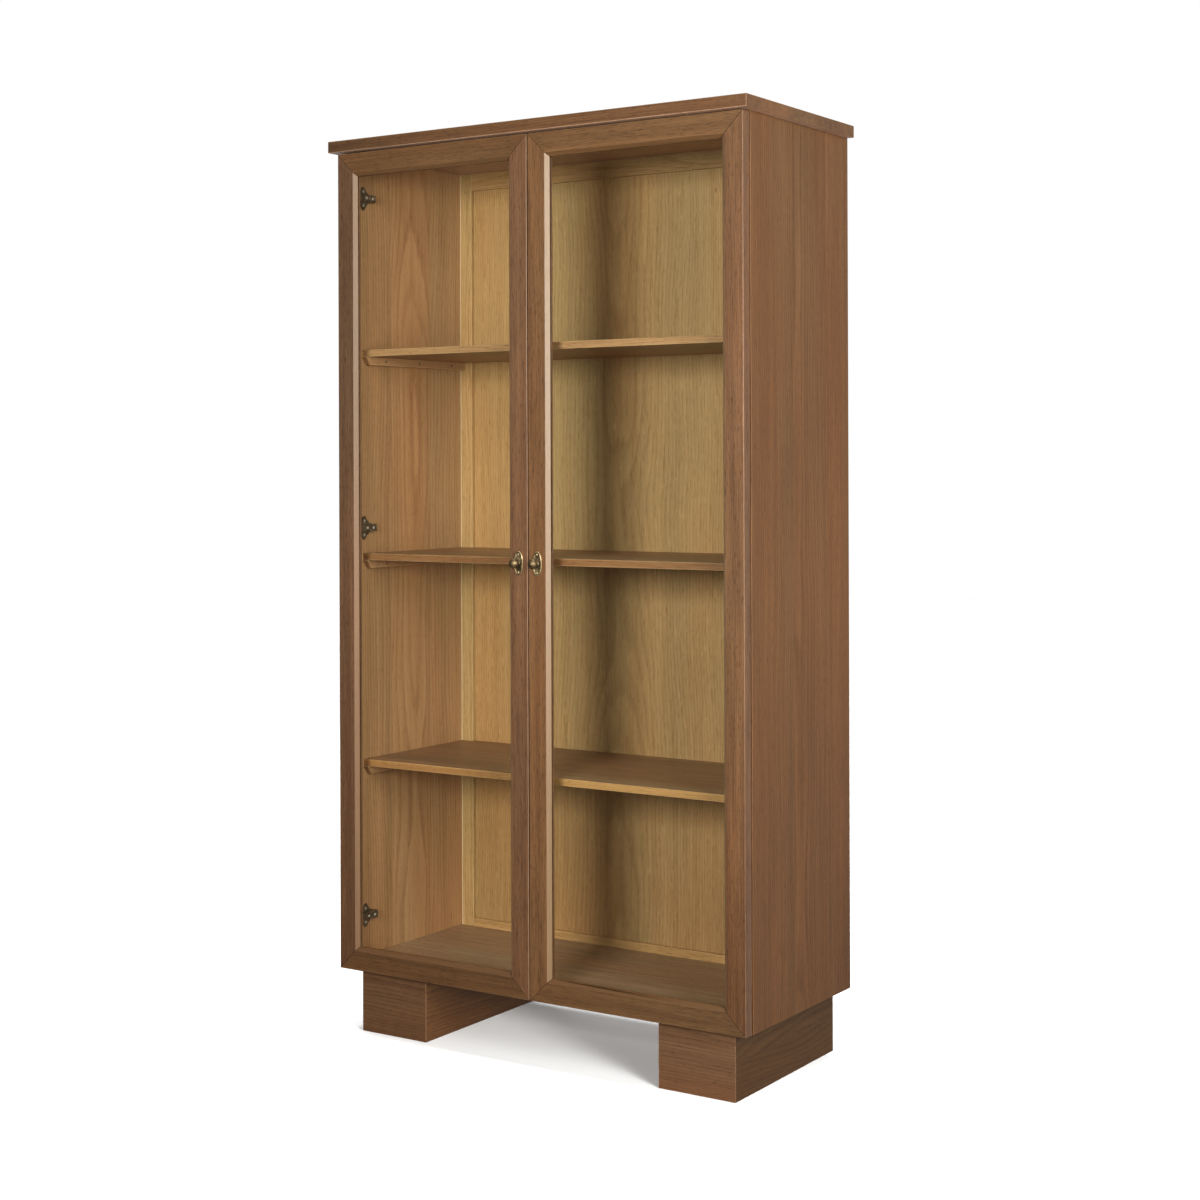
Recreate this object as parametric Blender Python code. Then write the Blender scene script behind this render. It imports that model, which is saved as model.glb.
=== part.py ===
"""Tall two-door glazed display cabinet, modelled as an assembly in metres with +Z up.

The front faces -Y. X is centred on the carcass and Z is measured from the floor.
Inside the script, plan depths are measured back from the front plane of the closed doors,
and side distances from the outer face of the nearer side panel.
"""

import math

import bmesh
import bpy
from mathutils import Vector

# ---------------------------------------------------------------- driving dimensions
CARCASS_W = 1.061          # outside width over the two side panels
CARCASS_BACK = 0.4676      # back edge of the side panels
CARCASS_FRONT = 0.029      # front edge of the side panels
CARCASS_Z = 0.1445         # underside of the carcass
FRONT_Y = -0.2203          # row Y of the doors' front plane
GAP = 0.0003               # clearance between touching pieces

TOP_W, TOP_T = 1.0922, 0.026
TOP_FRONT = -0.015
HEIGHT = 2.032
SOFFIT = HEIGHT - TOP_T

SIDE_T = 0.019
FLOOR_T = 0.018

BACK_FRAME_Y = 0.437       # front face of the back frame
BACK_FRAME_T = 0.020
BACK_MEMBER_W = 0.0410
BACK_RAIL_BOTTOM_W = 0.0370
BACK_LET_IN = 0.007        # how far a back stile is let into the side panel
BACK_PANEL_Y = 0.448
BACK_PANEL_T = 0.006
GROOVE_D = 0.008

SHELF_T = 0.0159
SHELF_FRONT = 0.0635
SHELF_TOPS = (("upper", 1.5590), ("middle", 1.0903), ("lower", 0.6156))

CLEAT_H, CLEAT_W = 0.0180, 0.0145
CLEAT_TIP, CLEAT_SLOPE = 0.0610, 0.0140
CLEAT_SCREWS = (0.132, 0.257, 0.382)

FOOT_W, FOOT_INSET = 0.1833, 0.0418
FOOT_FRONT, FOOT_BACK = 0.030, 0.466

DOOR_T = 0.026
DOOR_INSET = 0.001         # door edge inside the side panel's outer face
DOOR_GAP = 0.0028          # between the two meeting stiles
DOOR_TOP, DOOR_BOTTOM = 2.003, 0.1445
FACE_W = 0.052             # stile and rail width to the sight line
CHAMFER = 0.008
LIP_D = 0.010              # depth of the square lip in front of the glass
REBATE_W = 0.008
LAP_D = 0.013              # depth at which the mitred lap splits
EASE = 0.0014

GLASS_T = 0.004
BEAD_BACK = 0.0208

KNOB_Z = 1.0815
KNOB_FROM_CENTRE = 0.0245
PLATE_H, PLATE_W, PLATE_T = 0.052, 0.0232, 0.0030
KNOB_R, KNOB_OUT = 0.0110, 0.0268

HINGE_Z = (("top", 1.9086), ("middle", 1.1487), ("bottom", 0.2547))
SWING_AXIS = (0.0092, 0.0155)  # side distance and depth of the line the door turns about
ARM_PIN = (0.0272, 0.0177)   # side distance and depth of the arm's pivot
CUP_PIN = (0.01138, 0.01885)  # side distance and depth of the cup's pin
LINK_HALF_H, FORK_HALF_H = 0.0052, 0.0042
SLOT = (0.01408, 0.01590)    # the pin's travel in the link's slot, measured from the arm's pivot
CUP_X = 0.0230
CUP_R, CUP_WALL = 0.0175, 0.0009
CUP_FLOOR = 0.0130           # depth of the cup's closed end
FLANGE_T = 0.0010
PLATE_CENTRE = 0.066         # depth of the mounting plate's screw line

# ---------------------------------------------------------------- scene and materials
for old in list(bpy.data.objects):
    bpy.data.objects.remove(old, do_unlink=True)

scene_objects = bpy.context.scene.collection.objects


def material(name, colour, roughness, metallic=0.0, alpha=1.0, transmission=0.0):
    made = bpy.data.materials.new(name)
    made.use_nodes = True
    shader = made.node_tree.nodes["Principled BSDF"]
    shader.inputs["Base Color"].default_value = (*colour, 1.0)
    shader.inputs["Roughness"].default_value = roughness
    shader.inputs["Metallic"].default_value = metallic
    shader.inputs["Alpha"].default_value = alpha
    shader.inputs["Transmission Weight"].default_value = transmission
    made.diffuse_color = (*colour, alpha)
    return made


OAK_OUT = material("stained_oak", (0.215, 0.105, 0.050), 0.45)
OAK_DOOR = material("stained_oak_door", (0.205, 0.098, 0.046), 0.42)
OAK_IN = material("honey_oak", (0.390, 0.222, 0.092), 0.50)
OAK_CLEAT = material("cleat_oak", (0.245, 0.130, 0.058), 0.55)
GLASS = material("clear_glass", (0.93, 0.97, 0.95), 0.03, 0.0, 0.25, 1.0)
BRASS = material("antique_brass", (0.330, 0.230, 0.110), 0.32, 1.0)
NICKEL = material("dark_nickel", (0.300, 0.270, 0.230), 0.35, 1.0)

# ---------------------------------------------------------------- helpers
HALF = CARCASS_W / 2


def side_x(side, distance):
    """Row X of a point at this distance inside the outer face of the left (-1) or right (+1) side panel."""
    return side * (HALF - distance)


def row_y(depth):
    return FRONT_Y + depth


def empty(name, location):
    made = bpy.data.objects.new(name, None)
    made.empty_display_size = 0.03
    made.location = location
    scene_objects.link(made)
    return made


def finish(name, bm, look, origin=None, parent=None, smooth=False):
    """Closes off a bmesh given in row coordinates as one object whose origin is where it should be."""
    bmesh.ops.recalc_face_normals(bm, faces=bm.faces)
    if origin is None:
        low = [min(v.co[i] for v in bm.verts) for i in range(3)]
        high = [max(v.co[i] for v in bm.verts) for i in range(3)]
        origin = [(a + b) / 2 for a, b in zip(low, high)]
    origin = Vector(origin)
    bmesh.ops.translate(bm, vec=-origin, verts=bm.verts)
    mesh = bpy.data.meshes.new(name)
    bm.to_mesh(mesh)
    bm.free()
    if smooth:
        mesh.shade_smooth()
        mesh.set_sharp_from_angle(angle=math.radians(38))
    made = bpy.data.objects.new(name, mesh)
    if look is not None:
        mesh.materials.append(look)
    scene_objects.link(made)
    if parent is not None:
        made.parent = parent
        origin = origin - parent.location
    made.location = origin
    return made


def add_box(bm, x0, x1, y0, y1, z0, z1):
    (x0, x1), (y0, y1), (z0, z1) = sorted((x0, x1)), sorted((y0, y1)), sorted((z0, z1))
    cube = bmesh.ops.create_cube(bm, size=1.0)["verts"]
    for v in cube:
        v.co = Vector((
            x0 if v.co.x < 0 else x1,
            y0 if v.co.y < 0 else y1,
            z0 if v.co.z < 0 else z1,
        ))
    return cube


def add_prism(bm, points, push):
    """A flat outline (row coordinates) pushed along a vector."""
    corners = [bm.verts.new(p) for p in points]
    face = bm.faces.new(corners)
    pushed = bmesh.ops.extrude_face_region(bm, geom=[face])["geom"]
    bmesh.ops.translate(bm, vec=push, verts=[g for g in pushed if isinstance(g, bmesh.types.BMVert)])


def add_loft(bm, rings):
    """Rings of points joined one to the next and closed at both ends."""
    made = [[bm.verts.new(p) for p in ring] for ring in rings]
    for a, b in zip(made, made[1:]):
        for i in range(len(a)):
            j = (i + 1) % len(a)
            bm.faces.new((a[i], a[j], b[j], b[i]))
    bm.faces.new(list(reversed(made[0])))
    bm.faces.new(made[-1])


def add_frame(bm, x0, x1, z0, z1, outline):
    """A closed picture frame: outline gives (inset, row Y) of its section."""
    loops = []
    for inset, y in outline:
        loops.append([bm.verts.new(p) for p in (
            (x0 + inset, y, z0 + inset), (x1 - inset, y, z0 + inset),
            (x1 - inset, y, z1 - inset), (x0 + inset, y, z1 - inset))])
    for a, b in zip(loops, loops[1:] + loops[:1]):
        for i in range(4):
            j = (i + 1) % 4
            bm.faces.new((a[i], a[j], b[j], b[i]))


def add_cylinder(bm, centre, axis, radius, low, high, steps=24, radius_high=None):
    """A cylinder or cone about a row axis, from low to high along it."""
    radius_high = radius if radius_high is None else radius_high
    rings = []
    for place, r in ((low, radius), (high, radius_high)):
        ring = []
        for i in range(steps):
            a = 2 * math.pi * (i + 0.5) / steps
            u, v = r * math.cos(a), r * math.sin(a)
            point = {"x": (place, centre[1] + u, centre[2] + v),
                     "y": (centre[0] + u, place, centre[2] + v),
                     "z": (centre[0] + u, centre[1] + v, place)}[axis]
            ring.append(point)
        rings.append(ring)
    add_loft(bm, rings)


def ribbon(points, steps=10):
    """Outline of a bar drawn through (x, y, half width) points, with round ends."""
    def normal(i):
        before, after = points[max(i - 1, 0)], points[min(i + 1, len(points) - 1)]
        dx, dy = after[0] - before[0], after[1] - before[1]
        span = math.hypot(dx, dy)
        return -dy / span, dx / span

    def cap(i, turn):
        nx, ny = normal(i)
        x, y, w = points[i]
        out = []
        for k in range(1, steps):
            a = turn * math.pi * k / steps
            out.append((x + w * (nx * math.cos(a) - ny * math.sin(a)), y + w * (ny * math.cos(a) + nx * math.sin(a))))
        return out

    first, last = 0, len(points) - 1
    one = [(x + w * normal(i)[0], y + w * normal(i)[1]) for i, (x, y, w) in enumerate(points)]
    other = [(x - w * normal(i)[0], y - w * normal(i)[1]) for i, (x, y, w) in enumerate(points)]
    return one + cap(last, -1) + other[::-1] + [(2 * points[first][0] - x, 2 * points[first][1] - y) for x, y in cap(first, -1)]


def bevel(obj, width, segments=2, angle=40):
    ease = obj.modifiers.new("ease", "BEVEL")
    ease.width = width
    ease.segments = segments
    ease.limit_method = "ANGLE"
    ease.angle_limit = math.radians(angle)
    ease.use_clamp_overlap = True
    return obj


def helper(name, bm, parent=None):
    made = finish(name, bm, None, parent=parent)
    made.hide_render = True
    made.display_type = "WIRE"
    return made


def combine(obj, other, operation):
    step = obj.modifiers.new(other.name, "BOOLEAN")
    step.operation = operation
    step.solver = "EXACT"
    step.object = other


def box(name, look, x0, x1, y0, y1, z0, z1, ease=0.0, segments=2, parent=None):
    bm = bmesh.new()
    add_box(bm, x0, x1, row_y(y0), row_y(y1), z0, z1)
    made = finish(name, bm, look, parent=parent)
    if ease:
        bevel(made, ease, segments)
    return made


SIDES = (("left", -1), ("right", 1))

# ---------------------------------------------------------------- top panel
top = box("top_panel", OAK_OUT, -TOP_W / 2, TOP_W / 2, TOP_FRONT, CARCASS_BACK, SOFFIT, HEIGHT, 0.0014, 3)
bm = bmesh.new()
for _, side in SIDES:
    add_box(bm, side_x(side, 0.0065 - GAP), side_x(side, 0.0125 + GAP), row_y(0.070 - GAP),
            row_y(0.420 + GAP), SOFFIT - 0.005, SOFFIT + 0.0063)
combine(top, helper("cut_top_grooves", bm), "DIFFERENCE")

# ---------------------------------------------------------------- side panels
for word, side in SIDES:
    bm = bmesh.new()
    e = 0.0010
    plan = ((0, CARCASS_FRONT + e), (e, CARCASS_FRONT), (SIDE_T - e, CARCASS_FRONT), (SIDE_T, CARCASS_FRONT + e),
            (SIDE_T, BACK_FRAME_Y - GAP), (SIDE_T - BACK_LET_IN, BACK_FRAME_Y - GAP),
            (SIDE_T - BACK_LET_IN, CARCASS_BACK), (e, CARCASS_BACK), (0, CARCASS_BACK - e))
    add_prism(bm, [(side_x(side, x), row_y(y), CARCASS_Z) for x, y in plan], (0, 0, SOFFIT - GAP - CARCASS_Z))
    panel = finish("side_panel_" + word, bm, OAK_OUT)
    bm = bmesh.new()
    add_box(bm, side_x(side, SIDE_T - 0.006), side_x(side, SIDE_T + 0.005), row_y(0.020),
            row_y(BACK_FRAME_Y - GAP + 0.0002), CARCASS_Z - 0.005, CARCASS_Z + FLOOR_T + GAP)
    combine(panel, helper("cut_floor_rebate_" + word, bm), "DIFFERENCE")
    bm = bmesh.new()
    add_box(bm, side_x(side, 0.0065), side_x(side, 0.0125), row_y(0.070), row_y(0.420), SOFFIT - 0.012, SOFFIT + 0.006)
    combine(panel, helper("join_top_tongue_" + word, bm), "UNION")

# ---------------------------------------------------------------- floor of the carcass
box("bottom_panel", OAK_IN, side_x(-1, SIDE_T - 0.006 + GAP), side_x(1, SIDE_T - 0.006 + GAP),
    CARCASS_FRONT, BACK_FRAME_Y - GAP, CARCASS_Z, CARCASS_Z + FLOOR_T, 0.0008, 1)

# ---------------------------------------------------------------- framed back
stile_in = SIDE_T - BACK_LET_IN + GAP + BACK_MEMBER_W
groove_y0, groove_y1 = BACK_PANEL_Y - GAP, BACK_PANEL_Y + BACK_PANEL_T + GAP
for word, side in SIDES:
    bm = bmesh.new()
    out = SIDE_T - BACK_LET_IN + GAP
    plan = ((out, BACK_FRAME_Y), (stile_in - 0.0008, BACK_FRAME_Y), (stile_in, BACK_FRAME_Y + 0.0008),
            (stile_in, groove_y0), (stile_in - GROOVE_D, groove_y0), (stile_in - GROOVE_D, groove_y1),
            (stile_in, groove_y1), (stile_in, BACK_FRAME_Y + BACK_FRAME_T), (out, BACK_FRAME_Y + BACK_FRAME_T))
    add_prism(bm, [(side_x(side, x), row_y(y), CARCASS_Z) for x, y in plan], (0, 0, SOFFIT - GAP - CARCASS_Z))
    finish("back_stile_" + word, bm, OAK_IN)

rail_x = HALF - stile_in - GAP
for word, edge, outer in (("bottom", CARCASS_Z + BACK_RAIL_BOTTOM_W, CARCASS_Z), ("top", SOFFIT - BACK_MEMBER_W, SOFFIT - GAP)):
    inward = 1 if word == "bottom" else -1
    section = ((BACK_FRAME_Y, outer), (BACK_FRAME_Y, edge - inward * 0.0008), (BACK_FRAME_Y + 0.0008, edge),
               (groove_y0, edge), (groove_y0, edge - inward * GROOVE_D), (groove_y1, edge - inward * GROOVE_D),
               (groove_y1, edge), (BACK_FRAME_Y + BACK_FRAME_T, edge), (BACK_FRAME_Y + BACK_FRAME_T, outer))
    bm = bmesh.new()
    add_prism(bm, [(-rail_x, row_y(y), z) for y, z in section], (2 * rail_x, 0, 0))
    rail = finish("back_rail_" + word, bm, OAK_IN)
    bm = bmesh.new()
    add_box(bm, -rail_x - GROOVE_D + 0.0008, rail_x + GROOVE_D - 0.0008, row_y(BACK_PANEL_Y), row_y(BACK_PANEL_Y + BACK_PANEL_T),
            outer + inward * 0.0004, edge - inward * (GROOVE_D + 0.0012))
    combine(rail, helper("join_rail_tongue_" + word, bm), "UNION")

box("back_panel", OAK_IN, -(HALF - stile_in + GROOVE_D - 0.0006), HALF - stile_in + GROOVE_D - 0.0006,
    BACK_PANEL_Y, BACK_PANEL_Y + BACK_PANEL_T, CARCASS_Z + BACK_RAIL_BOTTOM_W - GROOVE_D + 0.0006,
    SOFFIT - BACK_MEMBER_W + GROOVE_D - 0.0006)

# ---------------------------------------------------------------- shelves on screwed cleats
for word, z in SHELF_TOPS:
    bm = bmesh.new()
    inner, notch = HALF - SIDE_T - GAP, HALF - stile_in - GAP
    plan = ((-inner, SHELF_FRONT), (inner, SHELF_FRONT), (inner, BACK_FRAME_Y - GAP), (notch, BACK_FRAME_Y - GAP),
            (notch, BACK_PANEL_Y - GAP), (-notch, BACK_PANEL_Y - GAP), (-notch, BACK_FRAME_Y - GAP), (-inner, BACK_FRAME_Y - GAP))
    add_prism(bm, [(x, row_y(y), z - SHELF_T) for x, y in plan], (0, 0, SHELF_T))
    long_front = [e for e in bm.edges if all(abs(v.co.y - row_y(SHELF_FRONT)) < 1e-6 for v in e.verts)
                  and abs(e.verts[0].co.x - e.verts[1].co.x) > 0.5]
    upper = [e for e in long_front if e.verts[0].co.z > z - 0.001]
    lower = [e for e in long_front if e not in upper]
    bmesh.ops.bevel(bm, geom=upper, offset=0.0016, segments=3, affect="EDGES", profile=0.5)
    bmesh.ops.bevel(bm, geom=[e for e in lower if e.is_valid], offset=0.0010, segments=2, affect="EDGES", profile=0.5)
    finish("shelf_" + word, bm, OAK_IN)

    under = z - SHELF_T - GAP
    for hand, side in SIDES:
        bm = bmesh.new()
        section = ((CLEAT_TIP, under), (BACK_FRAME_Y - GAP, under), (BACK_FRAME_Y - GAP, under - CLEAT_H),
                   (CLEAT_TIP + CLEAT_SLOPE, under - CLEAT_H))
        x_wall = side_x(side, SIDE_T + GAP)
        add_prism(bm, [(x_wall, row_y(y), zz) for y, zz in section], (-side * CLEAT_W, 0, 0))
        cleat = finish(f"cleat_{word}_{hand}", bm, OAK_CLEAT)
        bevel(cleat, 0.0006, 1)
        bm = bmesh.new()
        for depth in CLEAT_SCREWS:
            centre = (0, row_y(depth), under - CLEAT_H / 2)
            add_cylinder(bm, centre, "x", 0.0019, side_x(side, SIDE_T - 0.002), side_x(side, SIDE_T + CLEAT_W - 0.0020), 12)
        combine(cleat, helper(f"cut_cleat_holes_{word}_{hand}", bm), "DIFFERENCE")
        bm = bmesh.new()
        for depth in CLEAT_SCREWS:
            centre = (0, row_y(depth), under - CLEAT_H / 2)
            add_cylinder(bm, centre, "x", 0.0016, side_x(side, SIDE_T + CLEAT_W - 0.0026),
                         side_x(side, SIDE_T + CLEAT_W + 0.0012), 16, 0.0044)
        combine(cleat, helper(f"cut_cleat_sinks_{word}_{hand}", bm), "DIFFERENCE")

# ---------------------------------------------------------------- feet
for word, side in SIDES:
    box("foot_" + word, OAK_OUT, side_x(side, FOOT_INSET), side_x(side, FOOT_INSET + FOOT_W), FOOT_FRONT, FOOT_BACK,
        0.0, CARCASS_Z - GAP, 0.0010, 2)

# ---------------------------------------------------------------- doors
MEETING = HALF - DOOR_GAP / 2          # side distance of a door's meeting edge
SIGHT = FACE_W

# section of a stile or rail: (distance from the outer edge, depth)
r = EASE
SECTION = [(0.0, r)] + [(r - r * math.cos(a), r - r * math.sin(a)) for a in (math.pi / 6, math.pi / 3)] + [
    (r, 0.0), (SIGHT - CHAMFER, 0.0), (SIGHT, CHAMFER), (SIGHT, LIP_D), (SIGHT - REBATE_W, LIP_D),
    (SIGHT - REBATE_W, DOOR_T), (0.0010, DOOR_T), (0.0, DOOR_T - 0.0010)]

MITRE = GAP * 0.7072       # half the joint's gap, measured along an edge

for word, side in SIDES:
    swing = empty(f"door_{word}_pivot", (side_x(side, SWING_AXIS[0]), row_y(SWING_AXIS[1]), 0))
    outer, inner = DOOR_INSET, MEETING

    # stiles, long member of each mitred lap
    for role, edge, inward in (("hinge", outer, 1), ("meeting", inner, -1)):
        bm = bmesh.new()
        add_prism(bm, [(side_x(side, edge + inward * w), row_y(d), DOOR_BOTTOM) for w, d in SECTION],
                  (0, 0, DOOR_TOP - DOOR_BOTTOM))
        stile = finish(f"door_{word}_{role}_stile", bm, OAK_DOOR, parent=swing)
        bm = bmesh.new()
        far = 0.060
        for end, up in ((DOOR_TOP, 1), (DOOR_BOTTOM, -1)):
            wedge = ((-0.004, end + up * (0.004 - MITRE)), (far, end - up * (far + MITRE)),
                     (far, end + up * 0.004), (-0.004, end + up * 0.008))
            add_prism(bm, [(side_x(side, edge + inward * w), row_y(-0.002), z) for w, z in wedge],
                      (0, LAP_D + 0.002, 0))
        combine(stile, helper(f"cut_{word}_{role}_mitres", bm, swing), "DIFFERENCE")
        if role == "hinge":
            bm = bmesh.new()
            for _, z in HINGE_Z:
                add_cylinder(bm, (side_x(side, CUP_X), 0, z), "y", CUP_R + GAP, row_y(CUP_FLOOR - GAP),
                             row_y(DOOR_T + 0.004), 40)
            combine(stile, helper(f"cut_{word}_cup_pockets", bm, swing), "DIFFERENCE")

    # rails, short member of each mitred lap
    for role, edge, up in (("top", DOOR_TOP, -1), ("bottom", DOOR_BOTTOM, 1)):
        bm = bmesh.new()
        x0, x1 = side_x(side, outer), side_x(side, inner)
        add_prism(bm, [(x0, row_y(d), edge + up * w) for w, d in SECTION], (x1 - x0, 0, 0))
        rail = finish(f"door_{word}_{role}_rail", bm, OAK_DOOR, parent=swing)
        bm = bmesh.new()
        far = 0.060
        for start, inward in ((outer, 1), (inner, -1)):
            wedge = ((-0.004, -0.004 - MITRE), (far, far - MITRE), (far, far + 0.008), (-0.008, far + 0.008), (-0.008, -0.004))
            add_prism(bm, [(side_x(side, start + inward * a), row_y(-0.002), edge + up * b) for a, b in wedge],
                      (0, DOOR_T + 0.004, 0))
        combine(rail, helper(f"cut_{word}_{role}_rail_mitres", bm, swing), "DIFFERENCE")
        bm = bmesh.new()
        for start, inward in ((outer, 1), (inner, -1)):
            add_box(bm, side_x(side, start - inward * 0.004), side_x(side, start + inward * (SIGHT - REBATE_W + GAP)),
                    row_y(LAP_D - GAP), row_y(DOOR_T + 0.002), edge - up * 0.004, edge + up * 0.060)
        combine(rail, helper(f"cut_{word}_{role}_rail_laps", bm, swing), "DIFFERENCE")

    # glass and its glazing bead, in the rebate
    reach = SIGHT - REBATE_W + GAP
    xa, xb = sorted((side_x(side, outer + reach), side_x(side, inner - reach)))
    box(f"door_{word}_glass", GLASS, xa, xb, LIP_D + GAP, LIP_D + GAP + GLASS_T, DOOR_BOTTOM + reach, DOOR_TOP - reach, parent=swing)
    bm = bmesh.new()
    wide = REBATE_W - GAP
    front = LIP_D + GLASS_T + 2 * GAP
    add_frame(bm, xa, xb, DOOR_BOTTOM + reach, DOOR_TOP - reach,
              [(0, row_y(front)), (wide - 0.0004, row_y(front)), (wide, row_y(front + 0.0004)),
               (wide, row_y(BEAD_BACK - 0.0030)), (wide - 0.0030, row_y(BEAD_BACK)), (0, row_y(BEAD_BACK))])
    finish(f"door_{word}_glazing_bead", bm, OAK_DOOR, parent=swing)

    # knob and its oval backplate
    kx = side * KNOB_FROM_CENTRE

    def oval(scale_w, scale_h, depth, steps=40):
        ring = []
        for i in range(steps):
            a = 2 * math.pi * i / steps
            c, s = math.cos(a), math.sin(a)
            ring.append((kx + math.copysign(abs(c) ** 0.85, c) * PLATE_W / 2 * scale_w, row_y(depth),
                         KNOB_Z + math.copysign(abs(s) ** 0.92, s) * PLATE_H / 2 * scale_h))
        return ring

    bm = bmesh.new()
    add_loft(bm, [oval(0.97, 0.985, -GAP), oval(1.0, 1.0, -0.0009), oval(0.995, 0.998, -0.0022), oval(0.93, 0.970, -PLATE_T),
                  oval(0.84, 0.930, -PLATE_T - 0.0001), oval(0.76, 0.890, -PLATE_T + 0.0007), oval(0.70, 0.865, -PLATE_T + 0.0010),
                  oval(0.30, 0.60, -PLATE_T + 0.0006)])
    plate = finish(f"knob_plate_{word}", bm, BRASS, parent=swing, smooth=True)
    bm = bmesh.new()
    for up in (-1, 1):
        z = KNOB_Z + up * 0.0195
        add_loft(bm, [[(kx + rr * math.cos(2 * math.pi * i / 16), row_y(d), z + rr * math.sin(2 * math.pi * i / 16))
                       for i in range(16)] for rr, d in ((0.0021, -0.0012), (0.0021, -0.0023), (0.0016, -0.0029), (0.0008, -0.0032))])
    combine(plate, helper(f"join_knob_screws_{word}", bm, swing), "UNION")

    bm = bmesh.new()
    base = -(PLATE_T + GAP)
    turned = [(0.0062, base), (0.0066, base - 0.0008), (0.0060, base - 0.0018), (0.0046, base - 0.0030),
              (0.0042, base - 0.0062), (0.0047, base - 0.0090), (0.0066, base - 0.0112), (0.0094, base - 0.0127),
              (0.0108, base - 0.0146), (KNOB_R, base - 0.0166), (0.0107, base - 0.0186), (0.0096, base - 0.0203),
              (0.0078, base - 0.0216), (0.0052, base - 0.0227), (0.0024, -KNOB_OUT + 0.0004), (0.0010, -KNOB_OUT)]
    add_loft(bm, [[(kx + rr * math.cos(2 * math.pi * i / 32), row_y(d), KNOB_Z + rr * math.sin(2 * math.pi * i / 32))
                   for i in range(32)] for rr, d in turned])
    finish(f"knob_{word}", bm, BRASS, parent=swing, smooth=True)

    # concealed hinges
    for place, z in HINGE_Z:
        # mounting plate screwed to the side panel
        x_of = lambda d: side_x(side, d)
        bm = bmesh.new()
        outline = []
        for i in range(12):
            a = math.pi * i / 11
            outline.append((PLATE_CENTRE + 0.0062 * math.cos(a), z + 0.0213 + 0.0062 * math.sin(a)))
        outline += [(PLATE_CENTRE - 0.0150, z + 0.0108), (0.0470, z + 0.0092), (0.0470, z - 0.0092), (PLATE_CENTRE - 0.0150, z - 0.0108)]
        for i in range(12):
            a = math.pi + math.pi * i / 11
            outline.append((PLATE_CENTRE + 0.0062 * math.cos(a), z - 0.0213 + 0.0062 * math.sin(a)))
        outline += [(PLATE_CENTRE + 0.0170, z - 0.0108), (0.0900, z - 0.0092), (0.0900, z + 0.0092), (PLATE_CENTRE + 0.0170, z + 0.0108)]
        start = SIDE_T + GAP
        add_prism(bm, [(x_of(start), row_y(y), zz) for y, zz in outline], (-side * 0.0022, 0, 0))
        wing = finish(f"hinge_plate_{word}_{place}", bm, NICKEL)
        bm = bmesh.new()
        add_box(bm, x_of(start + 0.0010), x_of(start + 0.0062), row_y(0.0500), row_y(0.0900), z - 0.0055, z + 0.0055)
        combine(wing, helper(f"join_plate_block_{word}_{place}", bm), "UNION")
        bm = bmesh.new()
        for up in (-1, 1):
            add_cylinder(bm, (0, row_y(PLATE_CENTRE), z + up * 0.016), "x", 0.0021, x_of(start - 0.001), x_of(start + 0.004), 16)
        combine(wing, helper(f"cut_plate_holes_{word}_{place}", bm), "DIFFERENCE")

        # arm: a channel over the plate whose nose carries the first pivot
        bm = bmesh.new()
        a0, a1 = start + 0.0028, start + 0.0146
        profile = ((0.0310, a0 + 0.0020), (0.0310, a1 - 0.0030), (0.0340, a1), (0.0955, a1), (0.0980, a1 - 0.0025), (0.0980, a0))
        profile += ((0.0345, a0),)
        add_prism(bm, [(x_of(x), row_y(y), z - 0.0083) for y, x in profile], (0, 0, 0.0166))
        arm = finish(f"hinge_arm_{word}_{place}", bm, NICKEL)
        bm = bmesh.new()
        add_box(bm, x_of(a0 - 0.003), x_of(a1 - 0.0016), row_y(0.0400), row_y(0.1010), z - 0.0067, z + 0.0067)
        combine(arm, helper(f"cut_arm_channel_{word}_{place}", bm), "DIFFERENCE")
        bm = bmesh.new()
        px, py = ARM_PIN
        nose = ((px - 0.0020, py), (px + 0.0020, py), (px + 0.0022, 0.0330), (px - 0.0022, 0.0330))
        add_prism(bm, [(x_of(x), row_y(y), z - 0.0039) for x, y in nose], (0, 0, 0.0078))
        combine(arm, helper(f"join_arm_nose_{word}_{place}", bm), "UNION")
        bm = bmesh.new()
        add_cylinder(bm, (x_of(px), row_y(py), 0), "z", 0.0023, z - 0.0037, z + 0.0037, 20)
        combine(arm, helper(f"join_arm_knuckle_{word}_{place}", bm), "UNION")
        bm = bmesh.new()
        add_cylinder(bm, (x_of(px), row_y(py), 0), "z", 0.0009, z - 0.0056, z + 0.0056, 20)
        combine(arm, helper(f"join_arm_pin_{word}_{place}", bm), "UNION")

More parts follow.
